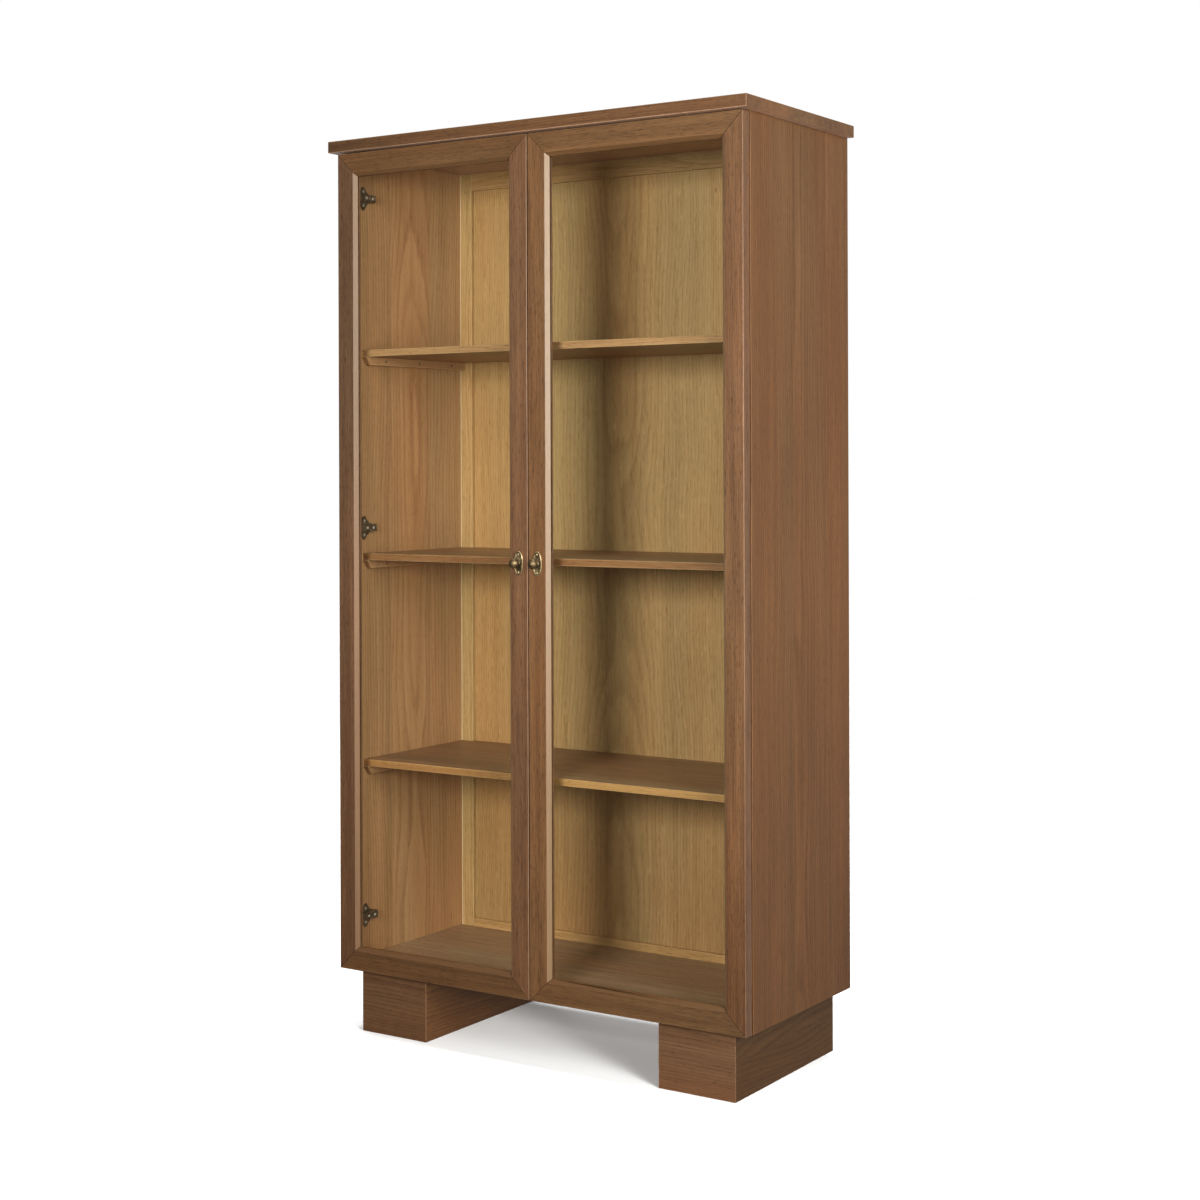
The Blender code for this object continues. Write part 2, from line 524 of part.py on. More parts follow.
        # link: a bent fork on the arm's pin, with a slotted end on the cup's pin; its origin is on the arm's pin
        qx, qy = CUP_PIN
        centre = [(px, py, 0.0017), (qx + 0.58 * (px - qx), qy + 0.58 * (py - qy) - 0.0025, 0.0014),
                  (qx + 0.16 * (px - qx), qy + 0.16 * (py - qy) - 0.0003, 0.0020), (qx, qy, 0.0021)]
        bm = bmesh.new()
        add_prism(bm, [(x_of(x), row_y(y), z - LINK_HALF_H) for x, y in ribbon(centre)], (0, 0, 2 * LINK_HALF_H))
        link = finish(f"hinge_link_{word}_{place}", bm, NICKEL, origin=(x_of(px), row_y(py), z))
        bm = bmesh.new()
        add_box(bm, x_of(px - 0.0044), x_of(px + 0.0040), row_y(py - 0.0050), row_y(py + 0.0050), z - FORK_HALF_H, z + FORK_HALF_H)
        combine(link, helper(f"cut_link_fork_{word}_{place}", bm), "DIFFERENCE")
        length = math.hypot(qx - px, qy - py)
        ux, uy = (qx - px) / length, (qy - py) / length
        bm = bmesh.new()
        add_cylinder(bm, (x_of(px), row_y(py), 0), "z", 0.0011, z - 0.0080, z + 0.0080, 20)
        slot = ribbon([(px + ux * at, py + uy * at, 0.00128) for at in SLOT])
        add_prism(bm, [(x_of(x), row_y(y), z - 0.0080) for x, y in slot], (0, 0, 0.0160))
        combine(link, helper(f"cut_link_eyes_{word}_{place}", bm), "DIFFERENCE")

        # cup let into the stile, with its screwed flange and the second pivot pin
        bm = bmesh.new()
        flange0, flange1 = DOOR_T + GAP, DOOR_T + GAP + FLANGE_T
        ear = []
        for i in range(24):
            a = 2 * math.pi * i / 24
            c, s = math.cos(a), math.sin(a)
            ear.append((CUP_X + math.copysign(abs(c) ** 0.8, c) * 0.0185, z + math.copysign(abs(s) ** 0.8, s) * 0.0305))
        add_prism(bm, [(x_of(x), row_y(flange0), zz) for x, zz in ear], (0, FLANGE_T, 0))
        cup = finish(f"hinge_cup_{word}_{place}", bm, NICKEL, parent=swing)
        bm = bmesh.new()
        add_cylinder(bm, (x_of(CUP_X), 0, z), "y", CUP_R, row_y(CUP_FLOOR), row_y(flange1 - 0.0002), 40)
        combine(cup, helper(f"join_cup_pot_{word}_{place}", bm, swing), "UNION")
        bm = bmesh.new()
        add_cylinder(bm, (x_of(CUP_X), 0, z), "y", CUP_R - CUP_WALL, row_y(CUP_FLOOR + 0.0008), row_y(flange1 + 0.003), 40)
        for up in (-1, 1):
            add_cylinder(bm, (x_of(CUP_X), 0, z + up * 0.0245), "y", 0.0018, row_y(flange0 - 0.002), row_y(flange1 + 0.002), 12)
        combine(cup, helper(f"cut_cup_bowl_{word}_{place}", bm, swing), "DIFFERENCE")
        bm = bmesh.new()
        add_cylinder(bm, (x_of(qx), row_y(qy), 0), "z", 0.0009, z - 0.0125, z + 0.0125, 20)
        combine(cup, helper(f"join_cup_pin_{word}_{place}", bm, swing), "UNION")
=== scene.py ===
"""Looks for the display cabinet: oak boards, glazed doors, brass knobs and nickel hinges, in a plain pale studio."""

import math

import bmesh
import bpy
from mathutils import Matrix, Vector


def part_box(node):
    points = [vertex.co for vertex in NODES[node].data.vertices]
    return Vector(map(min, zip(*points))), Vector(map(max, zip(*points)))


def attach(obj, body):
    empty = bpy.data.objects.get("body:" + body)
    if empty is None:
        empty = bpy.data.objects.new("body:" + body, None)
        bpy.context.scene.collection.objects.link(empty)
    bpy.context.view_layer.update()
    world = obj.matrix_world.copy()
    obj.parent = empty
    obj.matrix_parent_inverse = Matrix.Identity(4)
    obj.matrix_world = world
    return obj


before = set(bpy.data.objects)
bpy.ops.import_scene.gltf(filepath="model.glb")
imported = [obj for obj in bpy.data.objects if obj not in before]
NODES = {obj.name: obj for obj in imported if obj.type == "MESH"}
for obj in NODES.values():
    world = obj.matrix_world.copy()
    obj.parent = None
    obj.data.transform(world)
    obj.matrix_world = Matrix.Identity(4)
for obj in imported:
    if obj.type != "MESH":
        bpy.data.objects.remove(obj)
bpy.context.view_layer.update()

HALF = 0.5305
FRONT_Y = -0.2203
SIDES = (("left", -1), ("right", 1))
KNOB_Z = 1.0815
HINGE_Z = (("top", 1.9086), ("middle", 1.1487), ("bottom", 0.2547))
SHELF_TOPS = (("upper", 1.5590), ("middle", 1.0903), ("lower", 0.6156))


def side_x(side, distance):
    return side * (HALF - distance)


def row_y(depth):
    return FRONT_Y + depth


def lin(r, g, b):
    """A display colour, 0 to 255, as linear light."""
    out = []
    for c in (r, g, b):
        c /= 255
        out.append(c / 12.92 if c <= 0.04045 else ((c + 0.055) / 1.055) ** 2.4)
    return (*out, 1.0)


# ------------------------------------------------------------------ node shorthand
class Tree:
    def __init__(self, name):
        self.mat = bpy.data.materials.new(name)
        self.mat.use_nodes = True
        self.nt = self.mat.node_tree
        self.nt.nodes.clear()
        self.out = self.nt.nodes.new("ShaderNodeOutputMaterial")

    def node(self, kind, **settings):
        made = self.nt.nodes.new(kind)
        for key, value in settings.items():
            setattr(made, key, value)
        return made

    def put(self, socket, value):
        if hasattr(value, "is_output"):
            self.nt.links.new(value, socket)
        else:
            socket.default_value = value

    def math(self, op, a, b=0.0, c=0.0, clamp=False):
        made = self.node("ShaderNodeMath", operation=op, use_clamp=clamp)
        for socket, value in zip(made.inputs, (a, b, c)):
            self.put(socket, value)
        return made.outputs[0]

    def mix(self, fac, a, b, blend="MIX"):
        made = self.node("ShaderNodeMix", data_type="RGBA", blend_type=blend, clamp_factor=True)
        self.put(made.inputs[0], fac)
        self.put(made.inputs[6], a)
        self.put(made.inputs[7], b)
        return made.outputs[2]

    def ramp(self, fac, stops, interpolation="EASE"):
        made = self.node("ShaderNodeValToRGB")
        made.color_ramp.interpolation = interpolation
        band = made.color_ramp.elements
        while len(band) < len(stops):
            band.new(0.5)
        for element, (place, colour) in zip(band, stops):
            element.position = place
            element.color = colour if isinstance(colour, tuple) else (colour, colour, colour, 1.0)
        self.put(made.inputs[0], fac)
        return made.outputs[0]

    def range(self, value, a, b, c, d):
        made = self.node("ShaderNodeMapRange", clamp=True)
        for socket, number in zip(made.inputs, (value, a, b, c, d)):
            self.put(socket, number)
        return made.outputs[0]

    def mapped(self, scale, offset=(0, 0, 0), turn=(0, 0, 0)):
        coords = self.node("ShaderNodeTexCoord")
        made = self.node("ShaderNodeMapping")
        self.put(made.inputs[0], coords.outputs["Object"])
        made.inputs["Location"].default_value = offset
        made.inputs["Rotation"].default_value = turn
        made.inputs["Scale"].default_value = scale
        return made.outputs[0]

    def noise(self, vector, scale=1.0, detail=3.0, rough=0.5, distortion=0.0):
        made = self.node("ShaderNodeTexNoise", noise_dimensions="3D")
        self.put(made.inputs["Vector"], vector)
        made.inputs["Scale"].default_value = scale
        made.inputs["Detail"].default_value = detail
        made.inputs["Roughness"].default_value = rough
        made.inputs["Distortion"].default_value = distortion
        return made.outputs[0]

    def shader(self, **inputs):
        made = self.node("ShaderNodeBsdfPrincipled")
        for key, value in inputs.items():
            self.put(made.inputs[key.replace("_", " ")], value)
        self.nt.links.new(made.outputs[0], self.out.inputs[0])
        return made

    def bump(self, height, strength, distance):
        made = self.node("ShaderNodeBump")
        made.inputs["Strength"].default_value = strength
        made.inputs["Distance"].default_value = distance
        self.put(made.inputs["Height"], height)
        return made.outputs[0]


# ------------------------------------------------------------------ oak
def grain_scale(axis, along, across):
    """Scale of a pattern drawn out along one row axis."""
    return tuple(along if name == axis else across for name in "xyz")


def middle_of(t, a, b, c):
    return t.math("MAXIMUM", t.math("MINIMUM", a, b), t.math("MINIMUM", t.math("MAXIMUM", a, b), c))


def from_planes(t, parts, box):
    """How far each row coordinate is inside the box, as three values."""
    out = []
    for n in range(3):
        low, high = float(box[0][n]), float(box[1][n])
        out.append(t.math("SUBTRACT", (high - low) / 2, t.math("ABSOLUTE", t.math("SUBTRACT", parts.outputs[n], (low + high) / 2))))
    return out


def oak(name, axis, seed, look, box, heart=(0.0, 0.09), spacing=0.0034, rough=0.42, figure=0.5, wander=0.045, leaf=None, leaf_tone=0.05,
        rub=0.0022, rub_amount=0.5, mitre=None, zones=(), fades=(), flake=0.0, gloss=0.35, coat=0.12, contrast=1.0, clouds=0.15, hue=1.0,
        rub_box=None, lines=(), knots=(), turned=None):
    """Oak as it grows: rings about a wandering heart, open pores where each ring starts, fibre, and slow changes of
    tone and hue.

    heart is where the log's middle lies across the board, from the box's centre, and leaf = (axis, width) cuts the face
    into strips that each come from another place in the log. Each of zones is (axis, from, to, look), for faces with
    another tone or with painted light or shade, and each fade is (axis, from, to, factor), the colour scaled along an
    axis, used for painted shade towards the bottom or one end and for shifts of tone."""
    t = Tree(name)
    coords = t.node("ShaderNodeTexCoord")
    place = coords.outputs["Object"]
    parts = t.node("ShaderNodeSeparateXYZ")
    t.put(parts.inputs[0], place)
    if turned:
        # an outer face whose grain runs front to back
        where, start, stop = turned
        swapped = t.node("ShaderNodeCombineXYZ")
        for socket, output in zip(swapped.inputs, (parts.outputs[1], parts.outputs[0], parts.outputs[2])):
            t.put(socket, output)
        either = t.node("ShaderNodeMix", data_type="VECTOR")
        t.put(either.inputs[0], t.range(parts.outputs["xyz".index(where)], start, stop, 0.0, 1.0))
        t.put(either.inputs[4], place)
        t.put(either.inputs[5], swapped.outputs[0])
        place = either.outputs[1]
    cross = [i for i, letter in enumerate("xyz") if letter != axis]
    run = "xyz".index(axis)
    shift = (seed * 1.37 % 7.1, seed * 2.11 % 5.3, seed * 3.07 % 6.7)
    moved = place
    strip_tone = None
    if leaf:
        where, width = leaf
        strip = t.math("FLOOR", t.math("MULTIPLY_ADD", parts.outputs["xyz".index(where)], 1.0 / width, 0.37 + seed))
        white = t.node("ShaderNodeTexWhiteNoise", noise_dimensions="1D")
        t.put(white.inputs["W"], strip)
        strip_tone = white.outputs[0]
        jump = t.node("ShaderNodeVectorMath", operation="MULTIPLY")
        t.put(jump.inputs[0], white.outputs[1])
        jump.inputs[1].default_value = tuple(1.7 if i == run else 0.05 for i in range(3))
        added = t.node("ShaderNodeVectorMath", operation="ADD")
        t.put(added.inputs[0], place)
        t.put(added.inputs[1], jump.outputs[0])
        moved = added.outputs[0]

    def scaled(along, across):
        made = t.node("ShaderNodeMapping")
        t.put(made.inputs[0], moved)
        made.inputs["Location"].default_value = shift
        made.inputs["Scale"].default_value = grain_scale(axis, along, across)
        return made.outputs[0]

    # the heart wanders slowly along the board, which draws the rings out into flames
    drift = t.node("ShaderNodeTexNoise", noise_dimensions="3D")
    t.put(drift.inputs["Vector"], scaled(1.25, 2.6))
    drift.inputs["Scale"].default_value = 1.0
    drift.inputs["Detail"].default_value = 1.5
    centred = t.node("ShaderNodeVectorMath", operation="SUBTRACT")
    t.put(centred.inputs[0], drift.outputs[1])
    centred.inputs[1].default_value = (0.5, 0.5, 0.5)
    swing = t.node("ShaderNodeVectorMath", operation="SCALE")
    t.put(swing.inputs[0], centred.outputs[0])
    swing.inputs["Scale"].default_value = wander
    bent = t.node("ShaderNodeVectorMath", operation="ADD")
    t.put(bent.inputs[0], moved)
    t.put(bent.inputs[1], swing.outputs[0])
    middle = [(float(box[0][i]) + float(box[1][i])) / 2 for i in range(3)]
    for i, off in zip(cross, heart):
        middle[i] += off
    out_from = t.node("ShaderNodeVectorMath", operation="SUBTRACT")
    t.put(out_from.inputs[0], bent.outputs[0])
    out_from.inputs[1].default_value = middle
    flat = t.node("ShaderNodeVectorMath", operation="MULTIPLY")
    t.put(flat.inputs[0], out_from.outputs[0])
    flat.inputs[1].default_value = tuple(0.0 if i == run else 1.0 for i in range(3))
    length = t.node("ShaderNodeVectorMath", operation="LENGTH")
    t.put(length.inputs[0], flat.outputs[0])
    ripple = t.noise(scaled(5.0, 34.0), 1.0, 2.0, 0.5)
    radius = t.math("MULTIPLY_ADD", ripple, 0.0030, length.outputs["Value"])
    years = t.noise(scaled(0.7, 16.0), 1.0, 2.0, 0.5)
    ring = t.math("MULTIPLY_ADD", radius, 1.0 / spacing, t.math("MULTIPLY", years, 2.0))
    phase = t.math("FRACT", ring)
    early = t.ramp(phase, ((0.0, 0.80), (0.10, 1.0), (0.42, 0.35), (0.75, 0.05), (0.92, 0.0), (1.0, 0.80)), "EASE")
    year_tone = t.node("ShaderNodeTexWhiteNoise", noise_dimensions="1D")
    t.put(year_tone.inputs["W"], t.math("FLOOR", ring))

    fibre = t.noise(scaled(8.0, 430.0), 1.0, 3.0, 0.62)
    streak = t.noise(scaled(1.6, 60.0), 1.0, 3.0, 0.55)
    pores = t.noise(scaled(34.0, 1050.0), 1.0, 1.0, 0.5)
    dashes = t.noise(scaled(55.0, 520.0), 1.0, 1.0, 0.5)
    pore_mask = t.math("MULTIPLY", t.range(pores, 0.585, 0.70, 0.0, 1.0), t.math("MULTIPLY_ADD", early, 0.75, 0.25))
    cloud = t.noise(scaled(1.5, 5.0), 1.0, 3.0, 0.5)

    tone = t.math("MULTIPLY_ADD", fibre, 0.46 * contrast, 0.5 - 0.23 * contrast)
    tone = t.math("MULTIPLY_ADD", streak, 0.36 * contrast, t.math("SUBTRACT", tone, 0.18 * contrast))
    tone = t.math("MULTIPLY_ADD", early, -0.26 * figure, t.math("ADD", tone, 0.10 * figure))
    tone = t.math("MULTIPLY_ADD", year_tone.outputs[0], 0.10 * figure, t.math("SUBTRACT", tone, 0.05 * figure))
    tone = t.math("MULTIPLY_ADD", cloud, 2 * clouds, t.math("SUBTRACT", tone, clouds))
    tone = t.math("SUBTRACT", tone, t.math("MULTIPLY", t.range(dashes, 0.56, 0.68, 0.0, 1.0), 0.16 * contrast))
    if strip_tone is not None:
        tone = t.math("MULTIPLY_ADD", strip_tone, 2 * leaf_tone, t.math("SUBTRACT", tone, leaf_tone))

    def dyed(palette):
        made = t.ramp(tone, ((0.16, palette["dark"]), (0.50, palette["mid"]), (0.84, palette["light"])), "LINEAR")
        return t.mix(t.math("MULTIPLY", pore_mask, palette.get("pored", 0.55)), made, palette["pore"])

    colour = dyed(look)
    for where, start, stop, other in zones:
        colour = t.mix(t.range(parts.outputs["xyz".index(where)], start, stop, 0.0, 1.0), colour, dyed(other))
    # painted highlight: the chamfer round each pane is lightened towards the bright colour
    if mitre:
        deep = from_planes(t, parts, mitre)
        edging = t.math("MINIMUM", deep[0], deep[2])
        bevel_highlight_mask = t.math("MULTIPLY", t.range(edging, 0.0438, 0.0446, 0.0, 1.0), t.range(parts.outputs[1], row_y(0.0120), row_y(0.0105), 0.0, 1.0))
        colour = t.mix(t.math("MULTIPLY", bevel_highlight_mask, 0.60), colour, look.get("bright", look["mid"]))
    # red and olive drift through the stain
    drifting = t.noise(scaled(0.9, 6.5), 1.0, 2.0, 0.5)
    toned = t.ramp(drifting, ((0.30, (1.0 + 0.07 * hue, 1.0 - 0.015 * hue, 1.0 - 0.06 * hue, 1.0)), (0.70, (1.0 - 0.06 * hue, 1.0 + 0.012 * hue, 1.0 + 0.04 * hue, 1.0))), "LINEAR")
    colour = t.mix(1.0, colour, toned, "MULTIPLY")
    if flake:
        fleck = t.noise(scaled(30.0, 150.0), 1.0, 1.0, 0.4, 0.6)
        colour = t.mix(t.range(fleck, 0.64, 0.72, 0.0, flake), colour, look["light"])
    # each fade scales the colour along an axis: painted shade darker towards the bottom or one end, and shifts of tone
    for where, start, stop, factor in fades:
        colour = t.mix(t.range(parts.outputs["xyz".index(where)], start, stop, 0.0, 1.0), colour, t.mix(1.0, colour, (*factor, 1.0), "MULTIPLY"))
    # the lacquer is rubbed thin along the arrises, and the lighter colour mixed in there is partly a painted glint
    near = middle_of(t, *from_planes(t, parts, rub_box or box))
    scuff = t.noise(scaled(30.0, 90.0), 1.0, 3.0, 0.6)
    worn = t.math("MULTIPLY", t.range(near, 0.0, rub, 1.0, 0.0), t.range(scuff, 0.30, 0.62, 0.35, 1.0))
    colour = t.mix(t.math("MULTIPLY", worn, rub_amount), colour, look["edge"])
    for where, at, half, line_colour, amount in lines:
        off = t.math("ABSOLUTE", t.math("SUBTRACT", parts.outputs["xyz".index(where)], at))
        colour = t.mix(t.range(off, half * 0.5, half, amount, 0.0), colour, line_colour)
    for at_x, at_z, half_x, half_z in knots:
        across = t.math("DIVIDE", t.math("SUBTRACT", parts.outputs[0], at_x), half_x)
        up = t.math("DIVIDE", t.math("SUBTRACT", parts.outputs[2], at_z), half_z)
        far = t.math("MULTIPLY_ADD", fibre, 0.5, t.math("SQRT", t.math("ADD", t.math("MULTIPLY", across, across), t.math("MULTIPLY", up, up))))
        colour = t.mix(t.range(far, 0.55, 1.25, 0.85, 0.0), colour, look["pore"])
    if mitre:
        apart = t.math("ABSOLUTE", t.math("SUBTRACT", deep[0], deep[2]))
        colour = t.mix(t.range(apart, 0.0004, 0.0013, 0.75, 0.0), colour, look["pore"])
    shine = t.math("MULTIPLY_ADD", fibre, 0.10, rough - 0.07)
    shine = t.math("MULTIPLY_ADD", pore_mask, 0.20, shine)
    shine = t.math("MULTIPLY_ADD", cloud, 0.06, shine)
    shine = t.math("MULTIPLY_ADD", worn, 0.30, shine)
    relief = t.math("MULTIPLY_ADD", pore_mask, -0.9, t.math("MULTIPLY", fibre, 0.30))
    relief = t.math("MULTIPLY_ADD", early, -0.10, relief)
    kept = t.math("MULTIPLY_ADD", worn, -0.9, 1.0, clamp=True)
    t.shader(Base_Color=colour, Roughness=shine, Specular_IOR_Level=gloss, Normal=t.bump(relief, 0.35, 0.00030),
             Coat_Weight=t.math("MULTIPLY", kept, coat), Coat_Roughness=0.26)
    return t.mat


def shade(palette, factor, **changes):
    """The palette with each colour's light scaled, and some colours changed."""
    made = {}
    for key, value in palette.items():
        made[key] = tuple(v * f for v, f in zip(value[:3], factor)) + (1.0,) if isinstance(value, tuple) else value
    made.update(changes)
    return made


STAIN = dict(dark=lin(75, 48, 29), mid=lin(105, 71, 44), light=lin(131, 92, 60), pore=lin(50, 31, 18), edge=lin(168, 127, 91), pored=0.45)
HONEY = dict(dark=lin(144, 108, 62), mid=lin(176, 141, 92), light=lin(202, 166, 114), pore=lin(132, 92, 50), edge=lin(212, 180, 128), pored=0.45)
# a lighter copy of the side panels' oak for their inner faces: painted light
WALLS_PAINTED_LIGHT = dict(dark=lin(134, 94, 60), mid=lin(173, 129, 88), light=lin(200, 158, 114), pore=lin(100, 66, 42), edge=lin(204, 168, 126), pored=0.55)
# a lighter copy of the slab's oak for its underside: painted bounce light
ROOF_PAINTED_LIGHT = dict(dark=lin(172, 132, 101), mid=lin(204, 163, 130), light=lin(210, 170, 132), pore=lin(130, 88, 60), edge=lin(214, 178, 142), pored=0.5)
DULL = dict(dark=lin(124, 90, 60), mid=lin(158, 121, 86), light=lin(184, 146, 108), pore=lin(94, 66, 44), edge=lin(216, 178, 130), pored=0.5)
GOLD = dict(dark=lin(144, 100, 56), mid=lin(172, 126, 72), light=lin(196, 148, 88), pore=lin(116, 78, 42), edge=lin(214, 178, 126), pored=0.4)
# the colour of the painted highlight on the door chamfers
PAINTED_BEVEL_HIGHLIGHT = lin(142, 117, 86)
# painted shade for the lower parts of the doors
LOW_PAINTED_SHADE = (0.84, 0.77, 0.72)
KNOT_X, KNOT_Z = 0.73927 - HALF, 1.9156


def dress(node, mat):
    mesh = NODES[node].data
    mesh.materials.clear()
    mesh.materials.append(mat)


def board(node, axis, seed, look, **more):
    dress(node, oak("oak_" + node, axis, seed, look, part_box(node), **more))


def around(nodes):
    """The box about several nodes."""
    boxes = [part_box(node) for node in nodes]
    return ([min(float(b[0][i]) for b in boxes) for i in range(3)], [max(float(b[1][i]) for b in boxes) for i in range(3)])


PLATE_HALF_W, PLATE_HALF_H = 0.0116, 0.0260
SOFFIT = float(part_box("top_panel")[0][2])
TOP_END = float(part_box("top_panel")[1][0])
# the slab's underside is painted lighter as bounce light, and the slab is painted darker towards the left as shade
board("top_panel", "x", 3.1, shade(STAIN, (0.98, 0.98, 0.89)), leaf=("y", 0.118), heart=(0.05, -0.16), rough=0.42, contrast=1.5,
      zones=(("z", SOFFIT + 0.0012, SOFFIT + 0.0004, shade(ROOF_PAINTED_LIGHT, (1.12, 1.17, 1.32))), ("x", TOP_END - 0.0022, TOP_END - 0.0014, shade(STAIN, (0.98, 1.0, 0.84)))), fades=(("x", 0.45, -0.55, (0.70, 0.75, 0.82)),))
for n, (word, side) in enumerate(SIDES):
    # painted shade: each side panel darker towards the bottom
    low_painted_shade = (("z", 0.95, 0.12, ((0.77, 0.72, 0.67), (0.98, 0.95, 0.93))[word == "left"]),)
    # the inner face takes the lighter copy of the oak as painted light
    board("side_panel_" + word, "z", 5.0 + 3.7 * n, shade(STAIN, (1.05, 1.10, 1.12)), leaf=("y", 0.150), leaf_tone=0.08, heart=(side * 0.10, 0.02),
          figure=0.5, spacing=0.0074, wander=0.06, contrast=0.8, rough=0.46, gloss=0.12, coat=0.02, fades=low_painted_shade, hue=0.95, rub=0.0012, rub_amount=0.15,
          zones=(("x", side * (HALF - 0.0180), side * (HALF - 0.0187), WALLS_PAINTED_LIGHT),))
    frame_box = around([f"door_{word}_{part}" for part in ("hinge_stile", "meeting_stile", "top_rail", "bottom_rail")])
    for m, role in enumerate(("hinge_stile", "meeting_stile")):
        tones = {("left", "hinge_stile"): (0.82, 0.93, 1.12), ("left", "meeting_stile"): (0.95, 1.05, 1.20),
                 ("right", "meeting_stile"): (1.07, 1.15, 1.12)}.get((word, role), (1.04, 1.03, 1.0))
        # painted shade: each stile darker towards the bottom
        low_painted_shade = (("z", 0.95, 0.12, {("right", "hinge_stile"): (0.74, 0.70, 0.69), ("right", "meeting_stile"): (0.88, 0.84, 0.82)}.get((word, role), LOW_PAINTED_SHADE)),)
        # bright is the painted highlight on the chamfers round the panes
        board(f"door_{word}_{role}", "z", 11.3 + 2.9 * n + 1.3 * m, shade(STAIN, tones, bright=shade(dict(b=PAINTED_BEVEL_HIGHLIGHT), [(0.85, 0.80, 0.80), (1.0, 1.06, 1.08)][(word, role) != ("left", "hinge_stile")])["b"]), heart=(0.11, 0.05),
              spacing=0.0034, rough=0.36, figure=0.5, wander=0.03, contrast=1.65 if role == "hinge_stile" else 1.40, mitre=frame_box, coat=0.16, fades=low_painted_shade, rub_box=frame_box,
              rub=0.0020, rub_amount=0.34 if role == "hinge_stile" else 0.60)
    for m, role in enumerate(("top_rail", "bottom_rail")):
        # the bottom rails are painted darker, as shade near the floor
        board(f"door_{word}_{role}", "x", 17.9 + 3.1 * n + 1.7 * m, shade(STAIN, [v * (0.94, 0.98)[n] * (1.0, 0.74)[m] for v in (1.02, 1.08, 1.0)]), heart=(0.05, 0.11),
              spacing=0.0034, rough=0.36, figure=0.5, wander=0.03, contrast=1.35, mitre=frame_box, coat=0.16, rub_box=frame_box)
    board(f"door_{word}_glazing_bead", "z", 23.1 + n, STAIN, figure=0.4)
    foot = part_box("foot_" + word)
    foot_look = shade(STAIN, ((0.80, 0.95)[n], (0.87, 1.01)[n], (1.0, 1.18)[n]))
    # one face of each foot is painted: the left foot's inner face lighter as painted light, the right foot's outer face
    # darker as painted shade
    board("foot_" + word, "x", 26.7 + 1.9 * n, foot_look, leaf=("z", 0.0725), leaf_tone=0.04, heart=(0.0, 0.12), rough=0.48, gloss=0.12, coat=0.02,
          contrast=0.8, zones=(("x", float(foot[1][0]) - 0.0020, float(foot[1][0]) - 0.0012, shade(foot_look, ((1.20, 0.59)[n], (1.12, 0.60)[n], (0.88, 0.47)[n]))),),
          turned=("x", float(foot[1][0]) - 0.0018, float(foot[1][0]) - 0.0014))
    board("back_stile_" + word, "z", 29.3 + 2.3 * n, shade(HONEY, (1.03, 1.03, 1.02)), heart=(0.03, 0.06), rough=0.5, contrast=1.4,
          lines=(("x", side * (HALF - 0.0196), 0.0017, lin(222, 200, 164), 0.75),))
for n, (place, _) in enumerate(SHELF_TOPS):
    board("shelf_" + place, "x", 33.1 + 2.7 * n, DULL, leaf=("y", 0.131), heart=(0.02, -0.10), rough=0.46, contrast=1.6, hue=1.4,
          fades=(("x", -0.02, -0.15, (0.85, 0.83, 0.85)),) if place == "lower" else (),
          zones=(("y", row_y(0.0635 + 0.0034), row_y(0.0635 + 0.0026), shade(GOLD, {"upper": (0.89, 0.98, 1.32), "middle": (0.62, 0.56, 0.66), "lower": (0.92, 0.90, 0.92)}[place])),))
    for m, (hand, side) in enumerate(SIDES):
        board(f"cleat_{place}_{hand}", "y", 41.9 + 1.3 * n + 0.7 * m, shade(DULL, (1.15, 1.1, 1.0)), figure=0.4, rough=0.55)
for n, place in enumerate(("top", "bottom")):
    board("back_rail_" + place, "x", 46.7 + 1.9 * n, shade(HONEY, (1.0, 0.95, 0.92)), heart=(0.06, 0.02), rough=0.5, contrast=1.3)
board("bottom_panel", "x", 9.4, shade(DULL, (1.06, 1.14, 1.28)), leaf=("y", 0.131), heart=(0.03, -0.10), rough=0.46, contrast=1.6, hue=1.4)
# the back panel is painted darker towards the bottom as shade, and warmer towards the left
board("back_panel", "z", 12.6, HONEY, heart=(-0.06, 0.18), spacing=0.0062, wander=0.085, flake=0.32, figure=0.5, contrast=1.0, hue=1.1, knots=((KNOT_X, KNOT_Z, 0.0034, 0.0080),),
      rough=0.50, clouds=0.07, fades=(("z", 1.15, 0.25, (0.86, 0.80, 0.78)), ("x", 0.0, -0.30, (1.0, 0.97, 0.93))))


